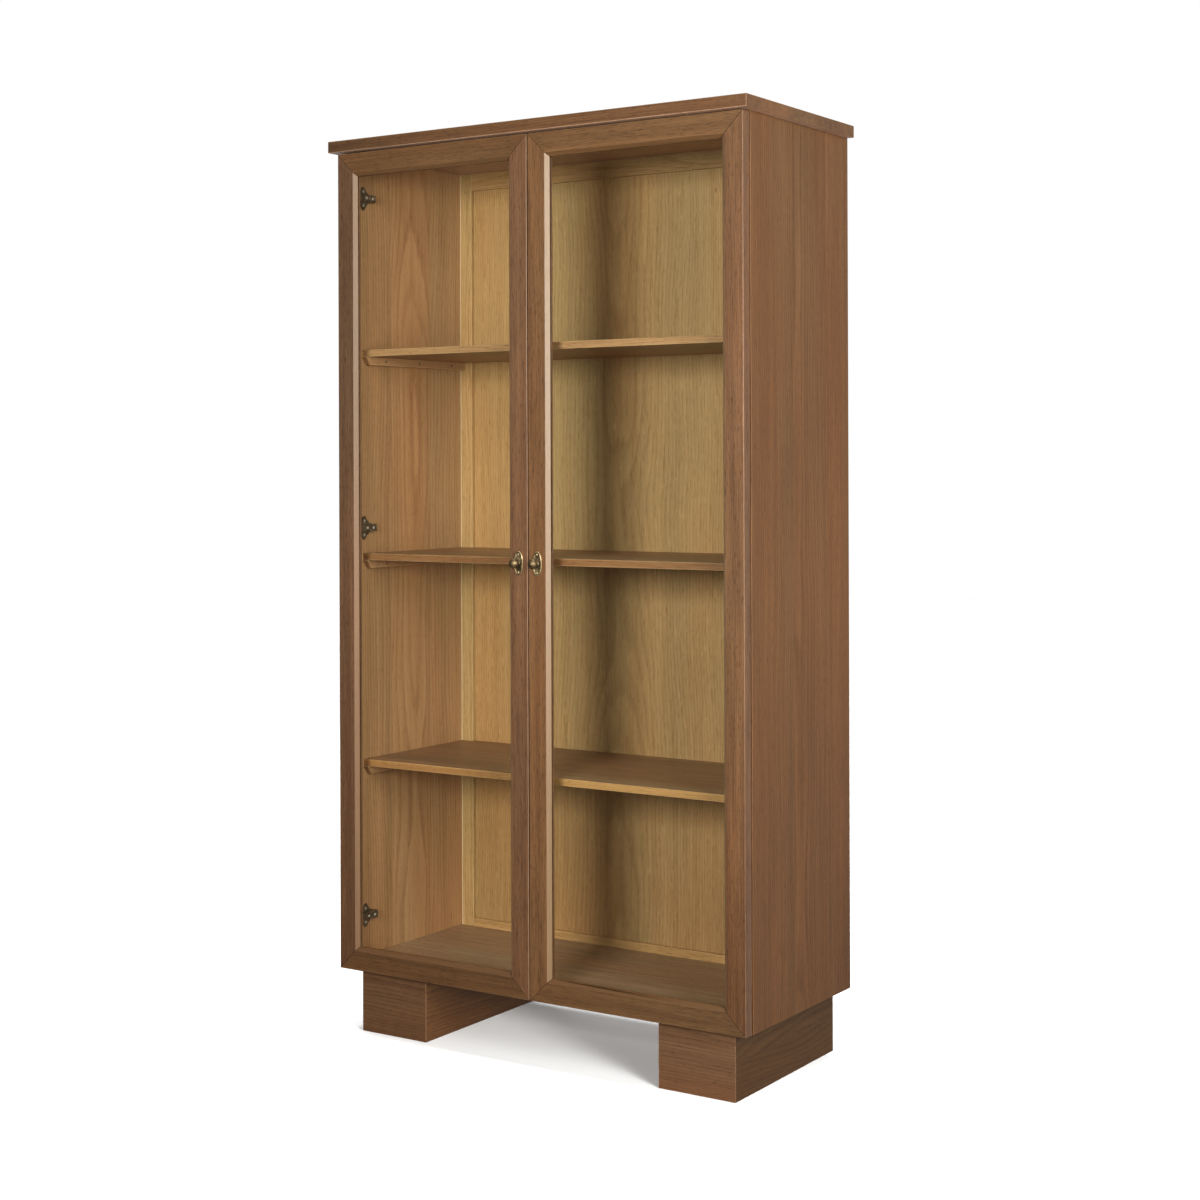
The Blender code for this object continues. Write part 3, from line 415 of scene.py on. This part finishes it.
# ------------------------------------------------------------------ metal and glass
def metal(name, base, dark, bright, rough, seed, wear=0.6, worn=False, metallic=1.0, polish_and_painted_highlight=()):
    """Plated or patinated metal: mottled tarnish, fine scratches and, on finely built pieces, darker hollows and rubbed edges."""
    t = Tree(name)
    blotch = t.noise(t.mapped((95, 95, 95), (seed, seed * 2, 0)), 1.0, 4.0, 0.6)
    fine = t.noise(t.mapped((900, 260, 900), (0, seed, seed)), 1.0, 3.0, 0.6)
    tone = t.math("MULTIPLY_ADD", fine, 0.35, t.math("MULTIPLY", blotch, 0.65))
    colour = t.ramp(tone, ((0.28, dark), (0.50, base), (0.76, bright)), "LINEAR")
    if worn:
        point = t.node("ShaderNodeNewGeometry").outputs["Pointiness"]
        colour = t.mix(t.math("MULTIPLY", t.range(point, 0.40, 0.49, 1.0, 0.0), 0.75), colour, dark)
        colour = t.mix(t.math("MULTIPLY", t.range(point, 0.52, 0.62, 0.0, 1.0), wear), colour, bright)
    shine = t.math("MULTIPLY_ADD", blotch, 0.25, t.math("MULTIPLY_ADD", fine, 0.14, rough - 0.17))
    parts = t.node("ShaderNodeSeparateXYZ")
    t.put(parts.inputs[0], t.node("ShaderNodeTexCoord").outputs["Object"])
    # polished spots: the lower roughness is polish, and the lighter colour there is a painted highlight
    for centre_x, centre_z, half_x, half_z, start, stop, amount in polish_and_painted_highlight:
        across = t.math("DIVIDE", t.math("SUBTRACT", t.math("ABSOLUTE", parts.outputs[0]), centre_x), half_x)
        up = t.math("DIVIDE", t.math("SUBTRACT", t.math("ABSOLUTE", t.math("SUBTRACT", parts.outputs[2], KNOB_Z)), centre_z), half_z)
        far = t.math("SQRT", t.math("ADD", t.math("MULTIPLY", across, across), t.math("MULTIPLY", up, up)))
        rubbed = t.math("MULTIPLY", t.range(far, start, stop, 0.0, amount), t.range(blotch, 0.30, 0.60, 0.7, 1.0))
        colour = t.mix(rubbed, colour, bright)
        shine = t.math("MULTIPLY_ADD", rubbed, -0.14, shine)
    t.shader(Base_Color=colour, Metallic=metallic, Roughness=shine, Normal=t.bump(fine, 0.12, 0.00008))
    return t.mat


BRASS = metal("antique_brass", lin(112, 94, 66), lin(62, 52, 38), lin(196, 172, 126), 0.44, 2.0, metallic=0.85)
# the plate's rim and screw heads: polish with a painted highlight
PLATE_BRASS = metal("antique_brass_plate", lin(112, 94, 66), lin(62, 52, 38), lin(230, 204, 152), 0.44, 3.0, metallic=0.8,
                    polish_and_painted_highlight=((0.0245, 0.0, PLATE_HALF_W, PLATE_HALF_H, 0.955, 0.985, 0.62), (0.0245, 0.0195, 0.0022, 0.0022, 1.15, 0.80, 0.85)))
NICKEL = metal("dark_nickel", lin(112, 100, 82), lin(56, 48, 38), lin(180, 168, 146), 0.40, 5.0, 0.7, metallic=0.8)
SCREW = metal("screw_steel", lin(204, 197, 182), lin(120, 113, 102), lin(242, 237, 226), 0.34, 7.0, 0.7, worn=True, metallic=0.65)
# the cleat screws are made dark as painted shade, for the shade in their recesses
SCREW_PAINTED_SHADE = metal("screw_steel_painted_shade", lin(62, 52, 38), lin(26, 21, 15), lin(190, 172, 142), 0.42, 9.0, 0.8, worn=True, metallic=0.5)


def glass_material():
    """Clear float glass: what is behind it shows, with the sheet's own reflection and a faint green tint."""
    t = Tree("float_glass")
    haze = t.noise(t.mapped((3.0, 3.0, 3.0)), 1.0, 3.0, 0.55)
    smear = t.noise(t.mapped((14.0, 14.0, 5.0)), 1.0, 4.0, 0.6)
    slant = t.node("ShaderNodeLayerWeight")
    slant.inputs["Blend"].default_value = 0.5
    mirrored = t.math("MULTIPLY_ADD", t.math("POWER", slant.outputs["Facing"], 5.0), 0.55, 0.008)
    clear = t.node("ShaderNodeBsdfTransparent")
    t.put(clear.inputs[0], t.mix(haze, (0.955, 0.975, 0.962, 1.0), (0.970, 0.985, 0.975, 1.0)))
    gloss = t.node("ShaderNodeBsdfGlossy")
    gloss.inputs["Color"].default_value = (1, 1, 1, 1)
    t.put(gloss.inputs["Roughness"], t.math("MULTIPLY_ADD", smear, 0.03, 0.01))
    both = t.node("ShaderNodeMixShader")
    t.put(both.inputs[0], mirrored)
    t.put(both.inputs[1], clear.outputs[0])
    t.put(both.inputs[2], gloss.outputs[0])
    t.put(t.out.inputs[0], both.outputs[0])
    return t.mat


def softened(name, angle):
    """A node group that joins a mesh's faces where they meet, and shades them smooth where they meet at less than the angle."""
    group = bpy.data.node_groups.new(name, "GeometryNodeTree")
    group.interface.new_socket("Geometry", in_out="INPUT", socket_type="NodeSocketGeometry")
    group.interface.new_socket("Geometry", in_out="OUTPUT", socket_type="NodeSocketGeometry")
    made = group.nodes
    start, end = made.new("NodeGroupInput"), made.new("NodeGroupOutput")
    plain = made.new("GeometryNodeRemoveAttribute")
    plain.inputs["Name"].default_value = "custom_normal"
    merge = made.new("GeometryNodeMergeByDistance")
    merge.inputs["Distance"].default_value = 1e-5
    smooth = made.new("GeometryNodeSetShadeSmooth")
    smooth.domain = "FACE"
    sharp = made.new("GeometryNodeSetShadeSmooth")
    sharp.domain = "EDGE"
    sharp.inputs["Shade Smooth"].default_value = False
    fold = made.new("GeometryNodeInputMeshEdgeAngle")
    over = made.new("FunctionNodeCompare")
    over.data_type, over.operation = "FLOAT", "GREATER_THAN"
    over.inputs[1].default_value = math.radians(angle)
    link = group.links.new
    link(start.outputs[0], plain.inputs[0])
    link(plain.outputs[0], merge.inputs[0])
    link(merge.outputs[0], smooth.inputs[0])
    link(smooth.outputs[0], sharp.inputs[0])
    link(fold.outputs[0], over.inputs[0])
    link(over.outputs[0], sharp.inputs["Selection"])
    link(sharp.outputs[0], end.inputs[0])
    return group


TURNED = softened("turned_faces", 38)
BOARDS = softened("board_faces", 12)


def soften(node, group, ease=0.0, segments=2):
    obj = NODES[node]
    join = obj.modifiers.new("join", "NODES")
    join.node_group = group
    if ease:
        arris = obj.modifiers.new("arris", "BEVEL")
        arris.width = ease
        arris.segments = segments
        arris.limit_method = "ANGLE"
        arris.angle_limit = math.radians(50)
        arris.harden_normals = False


GLASS = glass_material()
for word, _ in SIDES:
    dress(f"door_{word}_glass", GLASS)
    for piece in ("knob_plate_", "knob_"):
        dress(piece + word, BRASS if piece == "knob_" else PLATE_BRASS)
        soften(piece + word, TURNED)
    for spot, _ in HINGE_Z:
        for piece in ("plate", "arm", "link", "cup"):
            dress(f"hinge_{piece}_{word}_{spot}", NICKEL)
            soften(f"hinge_{piece}_{word}_{spot}", TURNED)
    for part in ("hinge_stile", "meeting_stile", "top_rail", "bottom_rail"):
        soften(f"door_{word}_{part}", BOARDS, 0.0005)
    soften("foot_" + word, BOARDS, 0.0009)


# ------------------------------------------------------------------ screws, shown as their own pieces
def lathe(name, profile, mat, steps=28, slot=None):
    """A turned form about its own +Z, from (radius, height) pairs, closed at both ends."""
    bm = bmesh.new()
    rings = []
    for r, z in profile:
        rings.append([bm.verts.new((r * math.cos(2 * math.pi * i / steps), r * math.sin(2 * math.pi * i / steps), z))
                      for i in range(steps)])
    for a, b in zip(rings, rings[1:]):
        for i in range(steps):
            j = (i + 1) % steps
            bm.faces.new((a[i], a[j], b[j], b[i]))
    bm.faces.new(list(reversed(rings[0])))
    bm.faces.new(rings[-1])
    bmesh.ops.recalc_face_normals(bm, faces=bm.faces)
    mesh = bpy.data.meshes.new(name)
    bm.to_mesh(mesh)
    bm.free()
    mesh.materials.append(mat)
    mesh.shade_smooth()
    mesh.set_sharp_from_angle(angle=math.radians(35))
    return mesh


def screw_head(name, radius, height, depth, mat, arms=4):
    """A screw head about its own +Z: a low dome with a recess cut into it."""
    bm = bmesh.new()
    steps = 32
    profile = ((radius * 0.55, -height), (radius * 0.97, -height * 0.12), (radius, 0.0), (radius * 0.93, depth * 0.30),
               (radius * 0.74, depth * 0.45))
    rings = []
    for r, z in profile:
        rings.append([bm.verts.new((r * math.cos(2 * math.pi * i / steps), r * math.sin(2 * math.pi * i / steps), z)) for i in range(steps)])

    def cross(i, reach, waist):
        a = 2 * math.pi * i / steps
        c = abs(math.cos(arms / 2 * a))
        return waist + (reach - waist) * c ** 6

    for grow, z in ((1.0, depth * 0.50), (0.92, depth * 0.10), (0.80, -height * 0.45)):
        rings.append([bm.verts.new((cross(i, radius * 0.62, radius * 0.20) * grow * math.cos(2 * math.pi * i / steps),
                                    cross(i, radius * 0.62, radius * 0.20) * grow * math.sin(2 * math.pi * i / steps), z))
                      for i in range(steps)])
    for a, b in zip(rings, rings[1:]):
        for i in range(steps):
            j = (i + 1) % steps
            bm.faces.new((a[i], a[j], b[j], b[i]))
    bm.faces.new(list(reversed(rings[0])))
    bm.faces.new(rings[-1])
    bmesh.ops.recalc_face_normals(bm, faces=bm.faces)
    mesh = bpy.data.meshes.new(name)
    bm.to_mesh(mesh)
    bm.free()
    mesh.materials.append(mat)
    mesh.shade_smooth()
    mesh.set_sharp_from_angle(angle=math.radians(40))
    return mesh


def place(name, mesh, at, facing, spin, body, slot):
    made = bpy.data.objects.new(name, mesh)
    bpy.context.scene.collection.objects.link(made)
    turn = Vector((0, 0, 1)).rotation_difference(Vector(facing)).to_matrix().to_4x4()
    made.matrix_world = Matrix.Translation(at) @ turn @ Matrix.Rotation(spin, 4, "Z")
    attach(made, body)
    return made


CLEAT_SCREW = screw_head("cleat_screw_head", 0.0036, 0.0016, 0.0005, SCREW_PAINTED_SHADE)
PLATE_SCREW = screw_head("plate_screw_head", 0.0036, 0.0009, 0.0011, SCREW)
ARM_SCREW = screw_head("arm_screw_head", 0.0031, 0.0008, 0.0010, SCREW)
CUP_SCREW = screw_head("cup_screw_head", 0.0031, 0.0008, 0.0010, SCREW)
count = 0
for word, z in SHELF_TOPS:
    centre = z - 0.0159 - 0.0003 - 0.0090
    for hand, side in SIDES:
        for n, depth in enumerate((0.132, 0.257, 0.382)):
            count += 1
            place(f"cleat_screw_{word}_{hand}_{n + 1}", CLEAT_SCREW, (side_x(side, 0.0190 + 0.0145 - 0.0006), row_y(depth), centre),
                  (-side, 0, 0), 0.7 * count, "cabinet", "dark_nickel")
for word, side in SIDES:
    for spot, z in HINGE_Z:
        for n, up in enumerate((-1, 1)):
            count += 1
            place(f"hinge_plate_screw_{word}_{spot}_{n + 1}", PLATE_SCREW, (side_x(side, 0.0193 + 0.0018), row_y(0.066), z + up * 0.016),
                  (-side, 0, 0), 0.9 * count, "cabinet", "dark_nickel")
            place(f"hinge_cup_screw_{word}_{spot}_{n + 1}", CUP_SCREW, (side_x(side, 0.0230), row_y(0.0272), z + up * 0.0245),
                  (0, 1, 0), 1.1 * count, "door_" + word, "dark_nickel")
        for n, depth in enumerate((0.0634, 0.0846)):
            count += 1
            place(f"hinge_arm_screw_{word}_{spot}_{n + 1}", ARM_SCREW, (side_x(side, 0.0339 + 0.0001), row_y(depth), z), (-side, 0, 0),
                  1.3 * count, "cabinet", "dark_nickel")

# ------------------------------------------------------------------ studio
floor_mesh = bpy.data.meshes.new("studio_floor")
floor_mesh.from_pydata([(-14, -14, 0), (14, -14, 0), (14, 14, 0), (-14, 14, 0)], [], [(0, 1, 2, 3)])
floor = bpy.data.objects.new("studio_floor", floor_mesh)
bpy.context.scene.collection.objects.link(floor)
floor.location.z = -0.0002
t = Tree("studio_floor")
paint = t.mix(t.noise(t.mapped((0.7, 0.7, 0.7)), 1.0, 2.0, 0.5), (0.925, 0.925, 0.925, 1.0), (0.955, 0.955, 0.955, 1.0))
t.shader(Base_Color=paint, Roughness=0.9, Specular_IOR_Level=0.0)
floor_mesh.materials.append(t.mat)
floor.visible_diffuse = False
floor.visible_glossy = False

# a white surround, dimmer as a light than as a background
world = bpy.data.worlds.new("studio_light")
bpy.context.scene.world = world
world.use_nodes = True
nodes, links = world.node_tree.nodes, world.node_tree.links
dim = nodes["Background"]
way = nodes.new("ShaderNodeTexCoord")
split = nodes.new("ShaderNodeSeparateXYZ")
level = nodes.new("ShaderNodeMapRange")
for socket, number in zip(level.inputs[1:5], (-0.6, 0.6, 0.05, 0.15)):
    socket.default_value = number
behind = nodes.new("ShaderNodeMapRange")
for socket, number in zip(behind.inputs[1:5], (0.0, 0.6, 0.0, 0.36)):
    socket.default_value = number
sum_up = nodes.new("ShaderNodeMath")
links.new(way.outputs["Generated"], split.inputs[0])
links.new(split.outputs[2], level.inputs[0])
links.new(split.outputs[1], behind.inputs[0])
links.new(level.outputs[0], sum_up.inputs[0])
links.new(behind.outputs[0], sum_up.inputs[1])
links.new(sum_up.outputs[0], dim.inputs[1])
dim.inputs[0].default_value = (1.0, 1.0, 1.0, 1.0)
bright = nodes.new("ShaderNodeBackground")
bright.inputs[0].default_value = (1.0, 1.0, 1.0, 1.0)
bright.inputs[1].default_value = 1.0
path = nodes.new("ShaderNodeLightPath")
either = nodes.new("ShaderNodeMixShader")
links.new(path.outputs["Is Camera Ray"], either.inputs[0])
links.new(dim.outputs[0], either.inputs[1])
links.new(bright.outputs[0], either.inputs[2])
links.new(either.outputs[0], nodes["World Output"].inputs[0])


def lamp(name, kind, at, aim, power, colour=(1, 1, 1), **settings):
    made = bpy.data.lights.new(name, kind)
    made.energy = power
    made.color = colour
    for key, value in settings.items():
        setattr(made, key, value)
    holder = bpy.data.objects.new(name, made)
    bpy.context.scene.collection.objects.link(holder)
    holder.location = at
    holder.rotation_euler = (Vector(aim) - Vector(at)).to_track_quat("-Z", "Y").to_euler()
    return holder


lamp("key", "AREA", (0.93, -4.38, 1.72), (0.0, 0.0, 1.15), 190, (1.0, 0.985, 0.96), shape="RECTANGLE", size=1.30, size_y=1.0)
lamp("side_light", "AREA", (3.90, -2.02, 1.80), (0.1, 0.0, 1.05), 230, (1.0, 0.99, 0.97), shape="RECTANGLE", size=2.0, size_y=2.9)
lamp("left_fill", "AREA", (-4.6, 1.6, 1.9), (-0.3, 0.0, 1.0), 120, (1.0, 0.99, 0.97), shape="RECTANGLE", size=2.5, size_y=2.8)
lamp("overhead", "SUN", (0.0, 0.3, 5.0), (0.0, 0.0, 0.0), 2.65, angle=math.radians(24))

# a low light that only the floor takes, so that the floor between the feet is as pale as the rest of the studio
low = lamp("floor_light", "AREA", (4.31, -2.26, 0.45), (0.3, -0.22, 0.0), 560, shape="RECTANGLE", size=1.0, size_y=0.3)
taken = bpy.data.collections.new("floor_only")
taken.objects.link(floor)
low.light_linking.receiver_collection = taken

camera_data = bpy.data.cameras.new("camera")
camera = bpy.data.objects.new("camera", camera_data)
bpy.context.scene.collection.objects.link(camera)
camera_data.sensor_fit = "HORIZONTAL"
camera_data.sensor_width = 36.0
camera_data.lens = 2023.32 / 1200 * 36.0
camera_data.shift_y = (463.06 - 600.0) / 1200.0
camera_data.clip_end = 60.0
yaw, roll = math.radians(33.29), -0.0034
camera.matrix_world = (Matrix.Translation((3.03996 - HALF, -3.53972 + FRONT_Y, 1.29623)) @ Matrix.Rotation(yaw, 4, "Z")
                       @ Matrix.Rotation(math.radians(90), 4, "X") @ Matrix.Rotation(roll, 4, "Z"))
bpy.context.scene.camera = camera
bpy.context.scene.view_settings.view_transform = "Standard"
bpy.context.scene.view_settings.look = "None"

bpy.context.view_layer.update()
